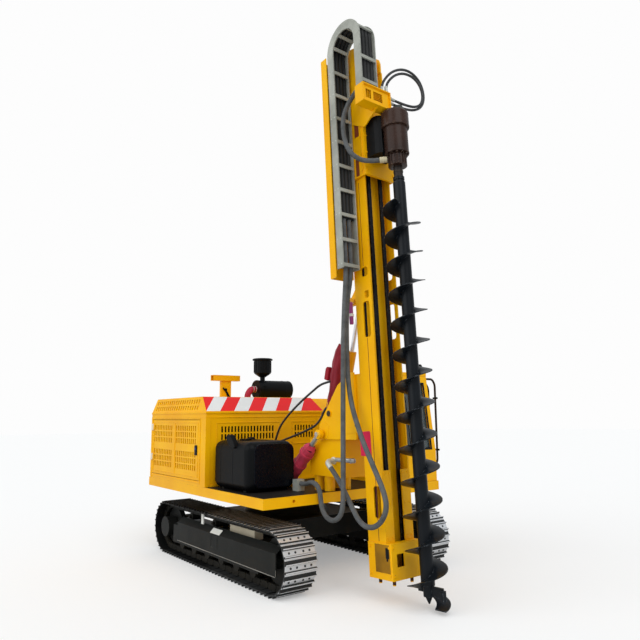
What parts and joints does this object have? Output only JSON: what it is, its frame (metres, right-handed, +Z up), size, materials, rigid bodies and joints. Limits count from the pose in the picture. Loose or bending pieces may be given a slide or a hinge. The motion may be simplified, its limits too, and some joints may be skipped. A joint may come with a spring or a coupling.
{
  "type": "tracked pile drilling rig",
  "caption": "Tracked rig that bores pile holes: slewing platform with cab and hood, tilting and sliding mast, auger head fed down the mast.",
  "frame": {"origin": "on the ground, midway along and between the tracks", "axes": "+X forward to the mast, +Y to the machine's left (cab side), +Z up"},
  "size_m": [4.1177, 2.5993, 5.665],
  "materials": {
    "yellow_paint": "gloss yellow paint, worn at the edges",
    "black_paint": "satin black paint",
    "shoe_steel": "worn bare steel",
    "head_paint": "dark brown cast housing",
    "auger_paint": "satin blue-black paint",
    "sleeve_cloth": "red protective sleeve over the barrel",
    "chrome": "hard chrome",
    "carrier_steel": "zinc-plated steel",
    "glass": "clear safety glass",
    "seat_trim": "black seat cover",
    "hose_rubber": "grey woven hose sleeve",
    "red_hose": "red silicone hose",
    "black_plastic": "moulded black plastic",
    "nylon": "cast nylon, beige",
    "black_hose": "black rubber hose"
  },
  "bodies": {
    "undercarriage": {"carbody": "black_paint", "slew_ring": "black_paint", "track_frames": "black_paint", "track_right": "shoe_steel", "track_left": "shoe_steel", "sprockets": "black_paint", "idlers": "black_paint", "bottom_rollers": "black_paint", "carrier_rollers": "black_paint", "track_skids": "nylon"},
    "platform": {"main_frame": "yellow_paint", "deck_plate": "black_paint", "hood_shell": "yellow_paint", "engine_block": "black_paint", "mast_rest": "yellow_paint", "air_cleaner": "black_paint", "pre_cleaner": "black_plastic", "intake_hose": "red_hose", "deck_tank": "black_plastic", "cab_shell": "yellow_paint", "cab_glass": "glass", "cab_seat": "seat_trim", "cab_handrails": "black_paint", "cab_lamp": "black_plastic", "mast_support": "yellow_paint", "hydraulic_fittings": "carrier_steel", "tilt_feet": "yellow_paint", "feed_hose": "hose_rubber", "return_hose": "hose_rubber", "slide_hose_upper": "black_hose", "slide_hose_lower": "black_hose"},
    "hood_door": {"hood_door": "yellow_paint"},
    "cab_door": {"cab_door": "yellow_paint", "cab_door_glass": "glass"},
    "mast_bracket": {"bracket_plates": "yellow_paint", "mast_guide": "yellow_paint"},
    "tilt_barrels": {"tilt_barrels": "sleeve_cloth"},
    "tilt_rods": {"tilt_rods": "chrome"},
    "slide_barrels": {"slide_barrels": "sleeve_cloth"},
    "slide_rods": {"slide_rods": "chrome"},
    "mast": {"mast_beam": "yellow_paint", "mast_crown": "yellow_paint", "mast_foot": "yellow_paint", "feed_chains": "black_paint", "slide_lug": "yellow_paint", "carrier_tray": "yellow_paint", "hose_carrier_fixed": "carrier_steel", "carrier_hoses": "black_hose"},
    "carriage": {"carriage_frame": "yellow_paint", "carrier_bracket": "yellow_paint", "hose_carrier_moving": "carrier_steel", "gearbox": "head_paint", "drive_motor": "black_paint", "carrier_hoses_moving": "black_hose", "gearbox_mount": "black_paint", "head_hose": "hose_rubber", "motor_hose_outer": "black_hose", "motor_hose_inner": "black_hose"},
    "auger": {"drive_shaft": "head_paint", "auger": "auger_paint"}
  },
  "joints": [
    {"name": "slew", "type": "hinge", "parent": "undercarriage", "child": "platform", "pos_m": [-0.12, 0, 0.8], "axis": [0, 0, 1], "continuous": true},
    {"name": "hood_door_hinge", "type": "hinge", "parent": "platform", "child": "hood_door", "pos_m": [-1.427, -1.2083, 1.3], "axis": [0, 0, -1], "range_deg": [0, 110]},
    {"name": "cab_door_hinge", "type": "hinge", "parent": "platform", "child": "cab_door", "pos_m": [0.393, 1.2033, 1.5], "axis": [0, 0, 1], "range_deg": [0, 110]},
    {"name": "mast_tilt", "type": "hinge", "parent": "platform", "child": "mast_bracket", "pos_m": [1.32, -0.23, 1.683], "axis": [0, 1, 0], "range_deg": [-84, 5], "deforming": ["feed_hose", "return_hose", "slide_hose_upper", "slide_hose_lower"]},
    {"name": "mast_slide", "type": "slide", "parent": "mast_bracket", "child": "mast", "axis": [-0.0523, 0, 0.9986], "range_m": [-0.09, 0.5]},
    {"name": "feed", "type": "slide", "parent": "mast", "child": "carriage", "axis": [0.0523, 0, -0.9986], "range_m": [0, 3.45]},
    {"name": "auger_spin", "type": "hinge", "parent": "carriage", "child": "auger", "pos_m": [2.26175, -0.23, 3.02415], "axis": [-0.0523, 0, 0.9986], "continuous": true},
    {"name": "tilt_barrel_swing", "type": "hinge", "parent": "platform", "child": "tilt_barrels", "pos_m": [0.637, -0.23, 0.96], "axis": [0, 1, 0], "range_deg": [-1.79, 12.07]},
    {"name": "tilt_rod_stroke", "type": "slide", "parent": "tilt_barrels", "child": "tilt_rods", "axis": [0.7421, 0, 0.6703], "range_m": [-0.0212, 0.2777]},
    {"name": "slide_barrel_swing", "type": "hinge", "parent": "mast_bracket", "child": "slide_barrels", "pos_m": [1.15, -0.23, 1.6], "axis": [0, 1, 0], "range_deg": [-6.94, 2.19]},
    {"name": "slide_rod_stroke", "type": "slide", "parent": "slide_barrels", "child": "slide_rods", "axis": [0.2839, 0, 0.9588], "range_m": [-0.091, 0.4828]}
  ],
  "couplings": [
    {"joint": "tilt_barrel_swing", "follows": "mast_tilt", "ratio": -0.13},
    {"joint": "tilt_rod_stroke", "follows": "mast_tilt", "m_per_rad": -0.186},
    {"joint": "slide_barrel_swing", "follows": "mast_slide", "rad_per_m": -0.2023},
    {"joint": "slide_rod_stroke", "follows": "mast_slide", "ratio": 0.95551}
  ]
}
